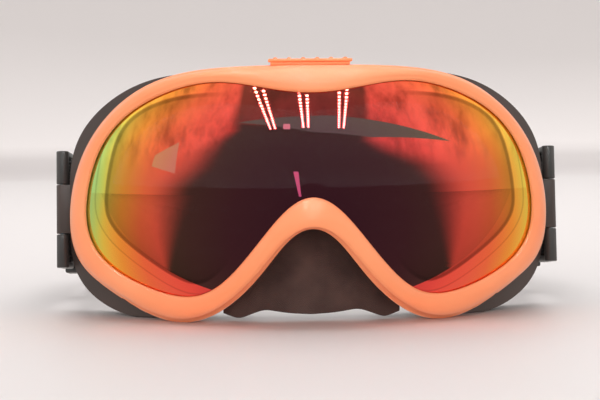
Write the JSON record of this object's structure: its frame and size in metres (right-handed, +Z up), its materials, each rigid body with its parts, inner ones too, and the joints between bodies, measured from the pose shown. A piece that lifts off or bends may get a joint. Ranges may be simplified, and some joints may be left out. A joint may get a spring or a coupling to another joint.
{
  "type": "ski goggles",
  "caption": "Ski goggles with a wide moulded rim, spherical mirrored double lens, layered face foam, nose flap and an elastic strap on hinged outriggers.",
  "frame": {"origin": "middle of the bounding box at its base, on the surface that the goggles stand on", "axes": "+Y points back from the lens to the strap, +Z up, +X to the right of someone facing the lens; left and right are named from there"},
  "size_m": [0.1884, 0.2141, 0.0922],
  "materials": {
    "rim_orange": "satin",
    "badge_orange": "satin",
    "lens_mirror": "polished",
    "lens_clear": "gloss",
    "gasket_foam": "matte",
    "frame_dark": "satin",
    "vent_foam": "matte",
    "flap_fabric": "matte",
    "foam_firm": "matte",
    "foam_soft": "matte",
    "fleece": "matte",
    "anchor_plastic": "satin",
    "pin_steel": "satin",
    "strap_webbing": "matte",
    "grip_silicone": "satin",
    "adjuster_plastic": "satin"
  },
  "bodies": {
    "goggles": {"outer_frame": "rim_orange", "brow_badge": "badge_orange", "outer_lens": "lens_mirror", "lens_gasket": "gasket_foam", "inner_lens": "lens_clear", "rear_frame": "frame_dark", "vent_foam_top": "vent_foam", "vent_foam_bottom": "vent_foam", "nose_flap": "flap_fabric", "face_foam_base": "foam_firm", "face_foam_mid": "foam_soft", "face_fleece": "fleece", "anchor_pin_left": "pin_steel", "anchor_pin_right": "pin_steel", "strap": "strap_webbing", "strap_grip": "grip_silicone"},
    "anchor_left": {"anchor_left": "anchor_plastic"},
    "anchor_right": {"anchor_right": "anchor_plastic"},
    "adjuster_left": {"adjuster_left": "adjuster_plastic"},
    "adjuster_right": {"adjuster_right": "adjuster_plastic"}
  },
  "joints": [
    {"name": "anchor_left_hinge", "type": "hinge", "parent": "goggles", "child": "anchor_left", "pos_m": [-0.0902, -0.04515, 0.03815], "axis": [0, 0.1278, 0.9918], "range_deg": [-6, 20], "deforming": ["strap"]},
    {"name": "anchor_right_hinge", "type": "hinge", "parent": "goggles", "child": "anchor_right", "pos_m": [0.0902, -0.04515, 0.03815], "axis": [0, -0.1278, -0.9918], "range_deg": [-6, 20], "deforming": ["strap"]},
    {"name": "adjuster_left_slide", "type": "slide", "parent": "goggles", "child": "adjuster_left", "axis": [0, 0.9918, -0.1278], "range_m": [-0.022, 0.02]},
    {"name": "adjuster_right_slide", "type": "slide", "parent": "goggles", "child": "adjuster_right", "axis": [0, 0.9918, -0.1278], "range_m": [-0.022, 0.02]}
  ]
}
